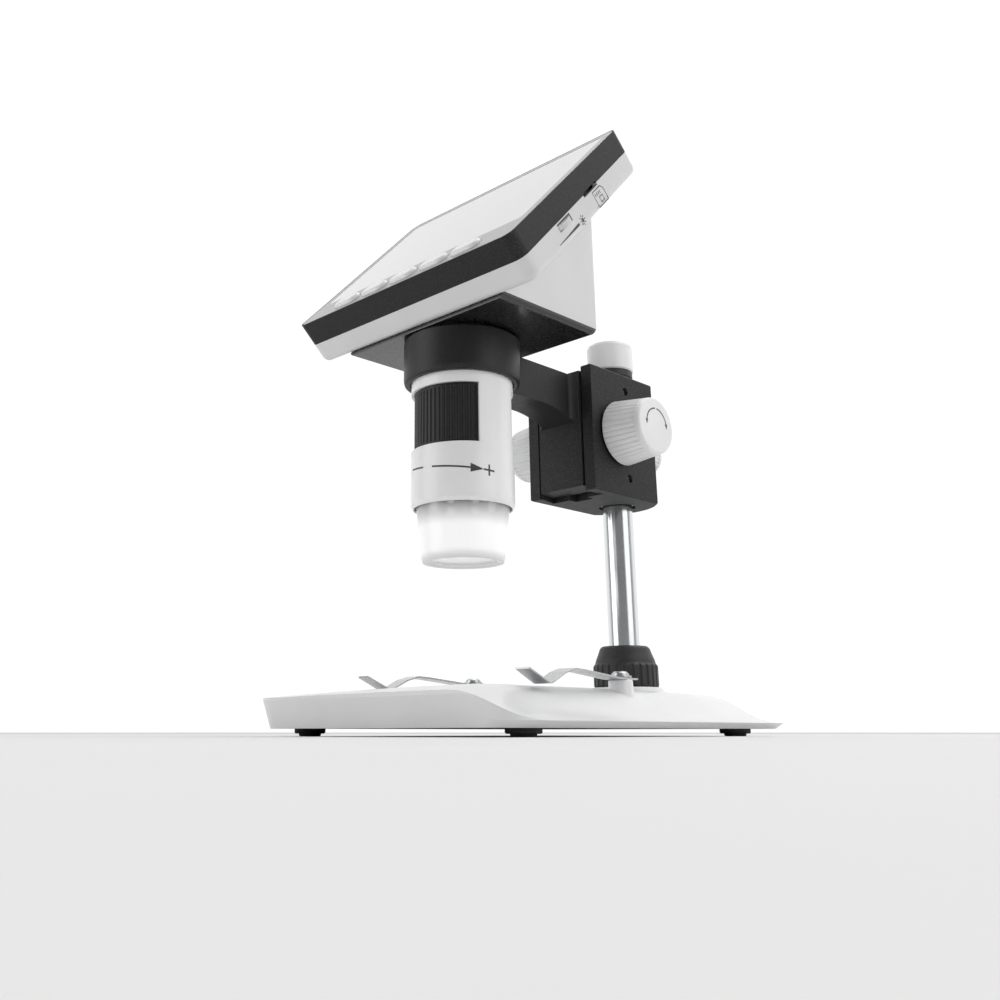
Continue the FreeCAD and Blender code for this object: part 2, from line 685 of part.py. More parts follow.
def focus_ring():
    ring = tube(FOCUS_R, CARRIER_R + 0.06, 0, OPTIC_Y, WINDOW_Z0 + 0.2, WINDOW_Z1 - 0.2)
    count = 60
    grooves = []
    for i in range(count):
        a = 2 * math.pi * i / count
        r = FOCUS_R + 0.25
        grooves.append(cyl(0.62, r * math.cos(a), OPTIC_Y + r * math.sin(a), WINDOW_Z0 + 1.2, WINDOW_Z1 - 1.2))
    return ring.cut(Part.makeCompound(grooves))


def lens_carrier():
    return spun(
        [(9.0, 104), (CARRIER_R, 104), (CARRIER_R, 126), (14.2, 126), (14.2, 112), (9.0, 112), (9.0, 109.6),
         (8.0, 109.6), (8.0, 106.4), (9.0, 106.4)],
        Vector(0, OPTIC_Y, 0),
    )


def objective_lens():
    disc = cyl(7.98, 0, OPTIC_Y, 105.0, 111.0)
    low = Part.makeSphere(22, Vector(0, OPTIC_Y, 105.4 + 22))
    high = Part.makeSphere(22, Vector(0, OPTIC_Y, 110.6 - 22))
    return disc.common(low).common(high)


def led_board():
    return tube(FOCUS_R - 0.2, 8.0, 0, OPTIC_Y, 88.6, 90.2)


def leds():
    lamps = []
    for i in range(8):
        a = 2 * math.pi * (i + 0.5) / 8
        x = 12.6 * math.cos(a)
        y = OPTIC_Y + 12.6 * math.sin(a)
        lamp = spun([(0, 86.0), (0.8, 86.2), (1.3, 86.8), (1.5, 87.6), (1.5, 88.6), (0, 88.6)], Vector(x, y, 0))
        lamps.append(lamp)
    return Part.makeCompound(lamps)


def light_shroud():
    """Clear cup with a step at its neck, a slow taper and a chamfered mouth."""
    t = SHROUD_WALL
    top = SHROUD_TOP_R
    low = SHROUD_BOTTOM_R
    mouth = 13.9
    return spun(
        [(top, BARREL_BOTTOM - 0.1), (top, BARREL_BOTTOM + 2.9), (top - t, BARREL_BOTTOM + 2.9),
         (top - t, BARREL_BOTTOM - 1), (low - t, SHROUD_BOTTOM + 2.4), (mouth, SHROUD_BOTTOM + 1.2),
         (mouth, SHROUD_BOTTOM), (low - 0.6, SHROUD_BOTTOM), (low, SHROUD_BOTTOM + 1.8)],
        Vector(0, OPTIC_Y, 0),
    )


# Head


def screen_slab(inset, n0, n1):
    return rounded_box(
        -SCREEN_HALF_WIDTH + inset, SCREEN_HALF_WIDTH - inset, inset, SCREEN_DEPTH - inset, n0, n1,
        SCREEN_CORNER - inset,
    )


CASE_SCREWS = [(sx * 30.0, u) for sx in (-1, 1) for u in (26.0, 70.0)]


def rear_case():
    body = screen_slab(0, -HEAD_THICK, -BAND)
    body = filleted(body, 3.0, lambda b: b.ZMax < -HEAD_THICK + 0.1)
    body = body.cut(screen_slab(CASE_WALL, -HEAD_THICK + CASE_WALL, 1))
    bosses = [cyl(3.2, x, u, -HEAD_THICK + 1, -12.2) for x, u in CASE_SCREWS]
    body = body.multiFuse(bosses)
    cuts = [cyl(1.3, x, u, -30, -13.4) for x, u in CASE_SCREWS]
    cuts.append(box(-12, 12, 34, 60, -30, -15))
    cuts.append(cyl(WHEEL_R + 0.4, WHEEL_X, WHEEL_U, -13.9, -10.7))
    cuts.append(box(50, 70, SD_U - 6.4, SD_U + 6.4, -11.2, -9))
    cuts.append(box(-70, -50, USB_U - 4.1, USB_U + 4.1, -13.0, -9.9))
    return body.cut(fused(cuts))


def screen_frame():
    body = screen_slab(0, -BAND, 0)
    body = body.cut(screen_slab(0.5, -2.0, 1)).cut(screen_slab(2.6, -BAND - 1, 1))
    return body.cut(box(50, 70, SD_U - 6.4, SD_U + 6.4, -BAND - 1, -BAND + 0.7))


def button_outline(grow, x, n0, n1):
    half_long = BUTTON_LONG / 2 + grow
    half_wide = BUTTON_WIDE / 2 + grow
    return rounded_box(
        x - half_long, x + half_long, BUTTON_U - half_wide, BUTTON_U + half_wide, n0, n1, half_wide - 0.3,
    )


def screen_bezel():
    body = screen_slab(0.55, -2.0, 0)
    body = filleted(body, 0.5, lambda b: b.ZMin > -0.1)
    cuts = [
        rounded_box(-GLASS_HALF_WIDTH, GLASS_HALF_WIDTH, GLASS_U0, GLASS_U1, -1.2, 1, 2.5),
        rounded_box(-53.5, 53.5, 22, 90.5, -3, 1, 1.0),
    ]
    cuts += [button_outline(0.3, x, -3, 1) for x in BUTTON_X]
    return body.cut(fused(cuts))


def screen_glass():
    g = 0.1
    return rounded_box(-GLASS_HALF_WIDTH + g, GLASS_HALF_WIDTH - g, GLASS_U0 + g, GLASS_U1 - g, -1.2, -0.1, 2.4)


def lcd_panel():
    return box(-52.8, 52.8, 22.6, 89.8, -5.0, -2.1)


def button(x):
    """Raised key with a domed top and a flange that keeps it under the bezel."""
    cap = button_outline(0, x, -2.6, BUTTON_PROUD)
    cap = filleted(cap, 1.3, lambda b: b.ZMin > BUTTON_PROUD - 0.1)
    flange = button_outline(1.0, x, -3.2, -2.3).common(box(-80, 80, 3.0, 11.4, -5, 5))
    stem = cyl(1.6, x, BUTTON_U, -4.2, -2.6)
    return fused([cap, flange, stem])


def button_board():
    board = box(-46, 46, 3.0, 11.6, -7.0, -5.4)
    domes = [cyl(1.8, x, BUTTON_U, -5.5, -5.1) for x in BUTTON_X]
    return board.multiFuse(domes)


def main_board():
    return box(-50, 50, 16, 92, -9.4, -7.8)


def battery():
    return filleted(box(-26, 20, 30, 92, -17.4, -12.2), 1.2, lambda b: b.YLength > 50).cut(
        cyl(3.4, -30, 70, -20, 0))


def sd_socket():
    body = box(45, 58.3, SD_U - 7.2, SD_U + 7.2, -11.2, -9.4)
    return body.cut(box(50, 70, SD_U - 5.7, SD_U + 5.7, -10.8, -9.9))


def usb_socket():
    body = box(-58.3, -52.5, USB_U - 3.9, USB_U + 3.9, -12.8, -10.2)
    return body.cut(box(-70, -54, USB_U - 3.4, USB_U + 3.4, -12.4, -10.6))


def brightness_wheel():
    wheel = cyl(WHEEL_R, WHEEL_X, WHEEL_U, -13.5, -11.3)
    count = 36
    grooves = []
    for i in range(count):
        a = 2 * math.pi * i / count
        r = WHEEL_R + 0.2
        grooves.append(cyl(0.42, WHEEL_X + r * math.cos(a), WHEEL_U + r * math.sin(a), -15, -10))
    return wheel.cut(Part.makeCompound(grooves)).cut(cyl(1.2, WHEEL_X, WHEEL_U, -12.0, -11))


def wedge_form(inset):
    """Block between the head plate and the screen's underside."""
    x = WEDGE_HALF_WIDTH - inset
    y0 = WEDGE_FRONT + inset
    y1 = WEDGE_REAR - inset
    body = box(-x, x, y0, y1, WEDGE_BOTTOM, 240)
    if inset == 0:
        body = filleted(body, 4.0, lambda b: b.ZLength < 1 and b.YMin > y1 - 0.1)
        body = filleted(body, 1.6, lambda b: b.ZLength > 50 and b.YMin > y1 - 6)
    under = tilted(box(-200, 200, -200, 300, -HEAD_THICK - inset, 200))
    return body.cut(under)


def wedge_housing():
    plate_top = BARREL_TOP
    body = wedge_form(0).cut(wedge_form(WEDGE_WALL)).cut(box(-60, 60, -100, 50, 150, plate_top))
    cuts = [tilted(cyl(1.5, x, u, -HEAD_THICK - 5, -HEAD_THICK + 1)) for x, u in CASE_SCREWS]
    cuts.append(tilted(box(-12, 12, 34, 60, -30, -15)))
    cuts.append(tilted(box(-36, 36, 2, 24, -22, -15)))
    body = body.cut(fused(cuts))
    solids = sorted(body.Solids, key=lambda s: s.Volume)
    return solids[-1]


def head_bottom_plate():
    body = wedge_form(0).common(box(-60, 60, -100, 50, 150, BARREL_TOP))
    body = body.cut(cyl(BARREL_R, 0, OPTIC_Y, 100, 200))
    return body.cut(cyl(BARREL_R + 0.9, 0, OPTIC_Y, BARREL_TOP - 1.2, 200))


def head_screws():
    screws = []
    under = -HEAD_THICK - WEDGE_WALL
    for x, u in CASE_SCREWS:
        shank = cyl(1.3, x, u, under, -13.6)
        head = cyl(2.6, x, u, under - 1.8, under)
        screws.append(tilted(fused([shank, head])))
    return Part.makeCompound(screws)


def sensor_board():
    return box(-13, 13, OPTIC_Y - 11, OPTIC_Y + 13, 160.4, 162.0)


def image_sensor():
    return box(-5, 5, OPTIC_Y - 5, OPTIC_Y + 5, 158.9, 160.4)


os.makedirs("parts", exist_ok=True)

export("base_shell", base_shell())
export("base_bottom_plate", base_bottom_plate())
export("base_weight", base_weight())
export("base_screws", base_screws())
export("feet", feet())
export("foot_pads", foot_pads())
export("pole", pole())
export("pole_screw", pole_screw())
export("pole_cap", pole_cap())
export("pole_cap_ring", pole_cap_ring())
export("pole_nut", pole_nut())
export("clip_left", clip(-1))
export("clip_right", clip(1))
export("clip_screws", clip_screws())

export("clamp_bush", clamp_bush())
export("bracket_housing", bracket_housing())
export("gib_screws", gib_screws())
export("clamp_knob", clamp_knob())
export("clamp_screw", clamp_screw())
export("focus_knob", focus_knob())
export("pinion_shaft", pinion_shaft())
export("pinion", pinion())
export("lock_knob", lock_knob())
export("lock_screw", lock_screw())
export("focus_slide", focus_slide())
export("rack", rack())
export("holder_arm", holder_arm())
export("arm_screws", arm_screws())
export("ring_liner", ring_liner())

export("barrel", barrel())
export("focus_ring", focus_ring())
export("lens_carrier", lens_carrier())
export("objective_lens", objective_lens())
export("led_board", led_board())
export("leds", leds())
export("light_shroud", light_shroud())

export("wedge_housing", wedge_housing())
export("head_bottom_plate", head_bottom_plate())
export("sensor_board", sensor_board())
export("image_sensor", image_sensor())
export("head_screws", head_screws())
export("rear_case", tilted(rear_case()))
export("screen_frame", tilted(screen_frame()))
export("screen_bezel", tilted(screen_bezel()))
export("screen_glass", tilted(screen_glass()))
export("lcd_panel", tilted(lcd_panel()))
export("button_board", tilted(button_board()))
export("main_board", tilted(main_board()))
export("battery", tilted(battery()))
export("sd_socket", tilted(sd_socket()))
export("usb_socket", tilted(usb_socket()))
export("brightness_wheel", tilted(brightness_wheel()))
for number, x in enumerate(BUTTON_X, 1):
    export("button_" + str(number), tilted(button(x)))
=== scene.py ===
import json
import math

import bpy
from mathutils import Matrix, Vector


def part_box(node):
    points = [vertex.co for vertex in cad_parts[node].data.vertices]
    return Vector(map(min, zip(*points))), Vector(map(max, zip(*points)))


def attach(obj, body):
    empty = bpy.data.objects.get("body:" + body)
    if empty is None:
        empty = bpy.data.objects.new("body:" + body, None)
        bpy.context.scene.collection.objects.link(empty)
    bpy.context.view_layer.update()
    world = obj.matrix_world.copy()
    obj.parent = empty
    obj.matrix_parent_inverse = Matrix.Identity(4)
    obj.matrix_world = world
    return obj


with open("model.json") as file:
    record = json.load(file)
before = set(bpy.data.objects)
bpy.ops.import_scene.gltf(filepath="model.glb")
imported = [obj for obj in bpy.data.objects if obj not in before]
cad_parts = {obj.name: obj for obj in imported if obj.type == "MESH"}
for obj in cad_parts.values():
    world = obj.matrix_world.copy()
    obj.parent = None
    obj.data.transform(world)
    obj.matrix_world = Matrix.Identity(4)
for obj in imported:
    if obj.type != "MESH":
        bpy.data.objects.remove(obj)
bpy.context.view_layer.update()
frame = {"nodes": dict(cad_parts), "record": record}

MM = 0.001

# Camera, in millimetres in the object's frame, with angles in degrees
CAMERA_PLACE = (284.98, -328.20, 1.5)
CAMERA_YAW = 46.191
CAMERA_PITCH = 16.834
CAMERA_FOCAL = 1042.5
CAMERA_CENTRE = (435.05, 416.81)
FRAME_SIZE = 1000.0
SENSOR = 36.0

# Places on the object, in millimetres
BARREL_AXIS_Y = -39.5
BARREL_R = 20.7
SCREEN_TILT = 46.7
SCREEN_EDGE_Y = -78.0
SCREEN_EDGE_Z = 170.2
CASE_SIDE_X = 62.0
PANEL_MIDDLE_U = 57.5
PANEL_HALF_U = 34.5
PANEL_HALF_X = 53.5
KNOB_FACE_X = 37.8
KNOB_Y = 42.1
KNOB_Z = 129.2

nodes = frame["nodes"]
slots = {p["node"]: p["material_slot"] for p in frame["record"]["subparts"]}


# Shader building, in metres

MOULDED_EDGE = 0.0003
STEEL_EDGE = 0.0002
RUBBER_EDGE = 0.0004
TOOL_LINE_DEPTH = 0.000003


class Shader:
    """A node material under construction."""

    def __init__(self, name):
        self.material = bpy.data.materials.new(name)
        self.material.use_nodes = True
        self.tree = self.material.node_tree
        self.surface = self.tree.nodes["Principled BSDF"]
        self.output = self.tree.nodes["Material Output"]
        self.place = self.tree.nodes.new("ShaderNodeTexCoord").outputs["Object"]

    def node(self, kind, inputs=None, **settings):
        made = self.tree.nodes.new(kind)
        for key, value in settings.items():
            setattr(made, key, value)
        for key, value in (inputs or {}).items():
            self.feed(made.inputs[key], value)
        return made

    def feed(self, socket, value):
        if isinstance(value, bpy.types.NodeSocket):
            self.tree.links.new(value, socket)
        else:
            socket.default_value = value

    def set(self, **values):
        """Feeds the surface: underscores in a key stand for spaces."""
        for key, value in values.items():
            self.feed(self.surface.inputs[key.replace("_", " ")], value)

    def stretched(self, scale):
        """The object's coordinates, scaled along each axis."""
        return self.node("ShaderNodeMapping", {"Vector": self.place, "Scale": scale}).outputs[0]

    def noise(self, size, detail=2.0, place=None, rough=0.5):
        """Noise with features of about that size in metres, or of size 1 in the place given."""
        made = self.node(
            "ShaderNodeTexNoise",
            {"Vector": place or self.place, "Scale": 1.0 / size, "Detail": detail, "Roughness": rough},
        )
        return made.outputs[0]

    def range(self, value, low, high, from_low=0.0, from_high=1.0):
        made = self.node(
            "ShaderNodeMapRange",
            {"Value": value, "From Min": from_low, "From Max": from_high, "To Min": low, "To Max": high},
        )
        return made.outputs[0]

    def math(self, operation, a, b=0.0):
        return self.node("ShaderNodeMath", {0: a, 1: b}, operation=operation).outputs[0]

    def mix(self, factor, a, b):
        made = self.node("ShaderNodeMix", {"Factor": factor}, data_type="RGBA")
        self.feed(made.inputs["A"], a)
        self.feed(made.inputs["B"], b)
        return made.outputs["Result"]

    def bump(self, height, distance, strength=1.0, normal=None):
        inputs = {"Height": height, "Distance": distance, "Strength": strength}
        if normal:
            inputs["Normal"] = normal
        return self.node("ShaderNodeBump", inputs).outputs[0]

    def edges(self, radius):
        """Rounded normals, and how near a convex or hollow edge a point lies."""
        soft = self.node("ShaderNodeBevel", {"Radius": radius}, samples=4).outputs[0]
        flat = self.node("ShaderNodeNewGeometry").outputs["True Normal"]
        same = self.node("ShaderNodeVectorMath", {0: soft, 1: flat}, operation="DOT_PRODUCT")
        return soft, self.range(same.outputs["Value"], 1.0, 0.0, 0.72, 0.985)


def grey(value, tint=(1.0, 1.0, 1.0)):
    return (value * tint[0], value * tint[1], value * tint[2], 1.0)


def moulded(name, shade, roughness, grain=0.00028, depth=0.000006, mottle=0.02, speck=0.0, edge=0.0,
            tint=(1.0, 1.0, 1.0), coat=0.0, gloss=0.5):
    """Moulded plastic: spark-eroded grain, faint flow mottling, specks, and lighter edges that are a painted
    highlight broken into patches.
    """
    s = Shader(name)
    soft, near_edge = s.edges(MOULDED_EDGE)
    fine = s.noise(grain, 3.0, rough=0.6)
    broad = s.noise(0.022, 2.0)
    darker = grey(shade * (1 - mottle), tint)
    lighter = grey(shade * (1 + mottle), tint)
    colour = s.mix(s.range(broad, 0.0, 1.0, 0.35, 0.65), darker, lighter)
    if speck:
        peaks = s.range(s.noise(grain * 1.6, 1.0), 0.0, 1.0, 0.58, 0.70)
        colour = s.mix(peaks, colour, grey(shade + speck, tint))
    # Lighter patches along the edges: a painted edge highlight, broken up by noise.
    if edge:
        painted_edge_highlight = s.math("MULTIPLY", near_edge, s.range(s.noise(0.004), 0.45, 1.0, 0.3, 0.6))
        colour = s.mix(painted_edge_highlight, colour, grey(shade + edge, tint))
    s.set(
        Base_Color=colour,
        Roughness=s.range(s.noise(grain * 3), roughness - 0.05, roughness + 0.05, 0.3, 0.7),
        Normal=s.bump(fine, depth, normal=soft),
        Coat_Weight=coat,
        Coat_Roughness=0.12,
        IOR=1.5,
        Specular_IOR_Level=gloss,
    )
    return s.material


def turned_steel(name, shade, roughness, lines, tint=(0.97, 0.99, 1.0)):
    """Bare or plated steel with fine tool lines and a painted highlight along its edges; lines scales the
    streaks along x, y and z.
    """
    s = Shader(name)
    soft, near_edge = s.edges(STEEL_EDGE)
    streaks = s.noise(1.0, 4.0, s.stretched(lines), 0.65)
    cloud = s.noise(0.012, 3.0)
    base = s.mix(s.range(streaks, 0.0, 1.0, 0.3, 0.7), grey(shade * 0.93, tint), grey(shade, tint))
    # Lighter near the edges: a painted edge highlight.
    colour = s.mix(near_edge, base, grey(min(1.0, shade * 1.15), tint))
    rough_streaks = s.range(streaks, roughness * 0.8, roughness * 1.25, 0.3, 0.7)
    rough = s.math("ADD", rough_streaks, s.range(cloud, -0.03, 0.03, 0.3, 0.7))
    s.set(Base_Color=colour, Metallic=1.0, Roughness=rough, Normal=s.bump(streaks, TOOL_LINE_DEPTH, normal=soft))
    return s.material


def rubber(name, shade, roughness=0.75):
    """Soft black rubber with a dusty bloom in its pores."""
    s = Shader(name)
    soft, near_edge = s.edges(RUBBER_EDGE)
    pores = s.noise(0.00035, 4.0, rough=0.7)
    dust = s.range(s.noise(0.006, 3.0), 0.0, 1.0, 0.4, 0.75)
    s.set(
        Base_Color=s.mix(dust, grey(shade), grey(shade * 1.8)),
        Roughness=s.range(pores, roughness - 0.08, roughness + 0.1, 0.3, 0.7),
        Normal=s.bump(pores, 0.00002, normal=soft),
    )
    return s.material


def clear_cup():
    """Clear styrene cup: a clearer band under the barrel, darkened as painted shade, a frosted wall lit by a
    painted glow, and a greyer rim.
    """
    s = Shader("cup_styrene")
    height = s.node("ShaderNodeSeparateXYZ", {"Vector": s.place}).outputs["Z"]
    low, high = (c.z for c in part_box("light_shroud"))
    shaded_band_from = high - 0.011
    shaded_band_full = high - 0.003
    rim_top = low + 0.0035
    edge = s.node("ShaderNodeLayerWeight", {"Blend": 0.35}).outputs["Facing"]
    clear_shaded_band = s.range(height, 0.0, 1.0, shaded_band_from, shaded_band_full)
    haze = s.noise(0.004, 3.0)
    rim = s.range(height, 1.0, 0.0, low, rim_top)
    # Darker in the clear band under the barrel: painted shade.
    white_with_painted_shade = s.mix(clear_shaded_band, grey(0.93), grey(0.55))
    glow_fade_to_outline = s.range(edge, 1.0, 0.35)
    glow_fade_to_rim = s.range(rim, 1.0, 0.25)
    s.set(
        Base_Color=s.mix(rim, white_with_painted_shade, grey(0.72)),
        Roughness=s.range(haze, 0.10, 0.22, 0.3, 0.7),
        IOR=1.45,
        # Painted glow: the frosted wall emits as if lit by the LEDs inside, fading towards the outline and the
        # rim, with none in the band.
        Emission_Color=(1.0, 1.0, 1.0, 1.0),
        Emission_Strength=s.math(
            "MULTIPLY", s.range(clear_shaded_band, 0.30, 0.0), s.math("MULTIPLY", glow_fade_to_rim, glow_fade_to_outline)
        ),
    )
    glass = s.node("ShaderNodeBsdfTransparent", {"Color": grey(0.95)})
    clear_share = s.math("ADD", s.math("MULTIPLY", clear_shaded_band, 0.30), 0.06)
    through = s.math("MULTIPLY", clear_share, s.range(edge, 1.0, 0.2))
    blend = s.node("ShaderNodeMixShader", {0: through, 1: s.surface.outputs[0], 2: glass.outputs[0]})
    s.tree.links.new(blend.outputs[0], s.output.inputs["Surface"])
    return s.material


def lens_glass():
    """Coated lens glass with a faint blue-green bloom."""
    s = Shader("coated_lens")
    bloom = s.noise(0.006, 2.0)
    s.set(
        Base_Color=s.mix(bloom, (0.55, 0.68, 0.74, 1.0), (0.66, 0.60, 0.78, 1.0)),
        Roughness=s.range(s.noise(0.0006), 0.01, 0.04),
        Transmission_Weight=0.85,
        IOR=1.52,
        Coat_Weight=1.0,
        Coat_Roughness=0.02,
    )
    return s.material


def screen_glass():
    """Cover glass over a pale display: a painted reflection as a soft gradient, a fainter margin and fingertip
    haze.
    """
    s = Shader("display_cover")
    axes = s.node("ShaderNodeSeparateXYZ", {"Vector": s.place})
    lean = math.radians(SCREEN_TILT)
    up = s.math(
        "ADD",
        s.math("MULTIPLY", s.math("SUBTRACT", axes.outputs["Y"], SCREEN_EDGE_Y * MM), math.cos(lean)),
        s.math("MULTIPLY", s.math("SUBTRACT", axes.outputs["Z"], SCREEN_EDGE_Z * MM), math.sin(lean)),
    )
    # Lighter towards -X and the lower edge, darker towards +X and the top: a painted reflection.
    sweep = s.math("ADD", s.math("MULTIPLY", axes.outputs["X"], 4.0), s.math("MULTIPLY", up, 5.0))
    painted_reflection_ramp = s.range(sweep, 0.0, 1.0, -0.1, 0.6)
    pale_with_painted_reflection = s.mix(painted_reflection_ramp, (0.70, 0.685, 0.69, 1.0), (0.47, 0.47, 0.485, 1.0))
    margin = (0.62, 0.615, 0.62, 1.0)
    off_middle = s.math("SUBTRACT", up, PANEL_MIDDLE_U * MM)
    inside_x = s.math("LESS_THAN", s.math("ABSOLUTE", axes.outputs["X"]), PANEL_HALF_X * MM)
    inside_u = s.math("LESS_THAN", s.math("ABSOLUTE", off_middle), PANEL_HALF_U * MM)
    active = s.math("MULTIPLY", inside_x, inside_u)
    smudge = s.noise(0.013, 4.0, rough=0.6)
    s.set(
        Base_Color=s.mix(s.math("ADD", s.math("MULTIPLY", active, 0.25), 0.7), margin, pale_with_painted_reflection),
        Roughness=s.range(smudge, 0.03, 0.10, 0.35, 0.7),
        IOR=1.5,
        Coat_Weight=0.6,
        Coat_Roughness=0.02,
    )
    return s.material


def circuit_board(name, mask):
    """Solder mask over copper: lighter tracks on a deep ground."""
    s = Shader(name)
    tracks = s.node(
        "ShaderNodeTexBrick",
        {"Vector": s.place, "Scale": 260.0, "Mortar Size": 0.03, "Color1": grey(1.0), "Color2": grey(0.9),
         "Mortar": grey(0.0)},
    ).outputs["Fac"]
    s.set(
        Base_Color=s.mix(tracks, (*mask, 1.0), (mask[0] * 1.8, mask[1] * 1.6, mask[2] * 1.6, 1.0)),
        Roughness=s.range(s.noise(0.0008), 0.25, 0.4),
        Normal=s.bump(tracks, 0.00003),
        Coat_Weight=0.5,
        Coat_Roughness=0.2,
    )
    return s.material


def glowing_leds():
    """White chips that glow, a little uneven under their yellow phosphor."""
    s = Shader("lit_chip")
    spots = s.noise(0.0012, 2.0)
    s.set(
        Base_Color=s.mix(spots, (1.0, 0.95, 0.8, 1.0), (1.0, 1.0, 1.0, 1.0)),
        Emission_Color=s.mix(spots, (1.0, 0.97, 0.92, 1.0), (1.0, 1.0, 1.0, 1.0)),
        Emission_Strength=1.2,
        Roughness=s.range(spots, 0.4, 0.6),
    )
    return s.material


def printed_mark():
    """Dark grey pad-printed ink with thin spots."""
    s = Shader("printed_ink")
    thin = s.range(s.noise(0.0006, 3.0), 0.0, 1.0, 0.35, 0.8)
    s.set(
        Base_Color=s.mix(thin, grey(0.045), grey(0.075)),
        Roughness=s.range(s.noise(0.0003), 0.45, 0.62),
        Normal=s.bump(s.noise(0.0002), 0.000004),
    )
    return s.material


# Materials for the record's slots

STREAK_ROUND = (300.0, 300.0, 9000.0)
STREAK_LONG = (6000.0, 250.0, 6000.0)

finish_of_slot = {
    "white_plastic": moulded("white_case", 0.80, 0.38, edge=0.05, tint=(1.0, 1.0, 1.005), coat=0.15),
    "key_plastic": moulded("white_key", 0.88, 0.30, edge=0.03, coat=0.3),
    "black_plastic": moulded(
        "charcoal_grain", 0.011, 0.55, grain=0.00034, depth=0.000022, speck=0.040, edge=0.07, gloss=0.35
    ),
    "grey_plastic": moulded("light_grey_case", 0.56, 0.40, edge=0.06),
    "dark_rubber": rubber("foot_rubber", 0.018),
    "pole_steel": turned_steel("pole_chrome", 0.80, 0.17, STREAK_ROUND, tint=(0.95, 0.985, 1.0)),
    "bright_steel": turned_steel("spring_steel", 0.55, 0.26, STREAK_LONG),
    "zinc_steel": turned_steel("zinc_plate", 0.66, 0.32, STREAK_ROUND, tint=(1.0, 0.98, 0.94)),
    "brass": turned_steel("cut_brass", 0.80, 0.26, STREAK_ROUND, tint=(1.0, 0.78, 0.38)),
    "bush_plastic": moulded("nylon_bush", 0.72, 0.45, tint=(1.0, 0.98, 0.92)),
    "display_glass": screen_glass(),
    "clear_plastic": clear_cup(),
    "lens_glass": lens_glass(),
    "display": moulded("panel_back", 0.30, 0.35, mottle=0.06),
    "circuit_board": circuit_board("green_mask", (0.010, 0.090, 0.040)),
    "sensor_package": moulded("sensor_ceramic", 0.10, 0.35, tint=(0.9, 0.95, 1.1)),
    "battery_wrap": moulded("cell_sleeve", 0.35, 0.30, tint=(0.55, 0.75, 1.15), coat=0.4),
    "socket_metal": turned_steel("socket_tin", 0.72, 0.28, STREAK_LONG),
    "led": glowing_leds(),
}

finish_of_node = {
    # The barrel's white is a lighter copy of the case plastic, as painted light; the rear case and wedge housing
    # whites are darker copies, as painted shade.
    "barrel": moulded("barrel_white_painted_light", 0.92, 0.34, edge=0.03, tint=(1.0, 1.0, 1.005), coat=0.25),
    "rear_case": moulded("case_white_painted_shade", 0.69, 0.38, edge=0.08, tint=(1.0, 1.0, 1.005), coat=0.15),
    "wedge_housing": moulded("wedge_white_painted_shade", 0.74, 0.38, edge=0.08, tint=(1.0, 1.0, 1.005), coat=0.15),
    "base_shell": moulded("base_white", 0.86, 0.36, edge=0.04, tint=(1.0, 1.0, 1.005), coat=0.2),
    "pole_cap": moulded("cap_white", 0.90, 0.34, edge=0.03, coat=0.2),
    "lock_knob": moulded("knob_white", 0.88, 0.36, edge=0.03, coat=0.15),
    "holder_arm": moulded(
        "satin_black", 0.012, 0.44, grain=0.00030, depth=0.000010, speck=0.014, edge=0.07, gloss=0.4
    ),
    "focus_ring": moulded(
        "ring_black", 0.009, 0.42, grain=0.00030, depth=0.000006, speck=0.006, edge=0.07, gloss=0.4
    ),
    "pole_nut": moulded("nut_black", 0.024, 0.50, grain=0.00030, depth=0.000010, speck=0.015, edge=0.07),
    "pole_cap_ring": moulded("ring_dark", 0.030, 0.45, edge=0.04),
    "lens_carrier": moulded("carrier_black", 0.012, 0.55, edge=0.03),
    "head_bottom_plate": moulded(
        "gloss_black", 0.006, 0.30, grain=0.0006, depth=0.000003, speck=0.004, edge=0.06, coat=0.5
    ),
    "screen_frame": moulded(
        "band_black", 0.009, 0.52, grain=0.00034, depth=0.000014, speck=0.020, edge=0.04, gloss=0.35
    ),
    "screen_bezel": moulded("bezel_grey", 0.42, 0.36, edge=0.10, coat=0.2),
    "brightness_wheel": moulded("wheel_grey", 0.70, 0.40, edge=0.05),
    "base_bottom_plate": moulded("underside_grey", 0.16, 0.55, edge=0.04),
    "ring_liner": moulded("liner_black", 0.016, 0.60, edge=0.03),
}

for name, node in nodes.items():
    finish = finish_of_node.get(name) or finish_of_slot[slots[name]]
    node.data.materials.clear()
    node.data.materials.append(finish)

INK = printed_mark()


# Printed marks, as thin raised slabs

MARK_LOW = -0.06
MARK_HIGH = 0.05


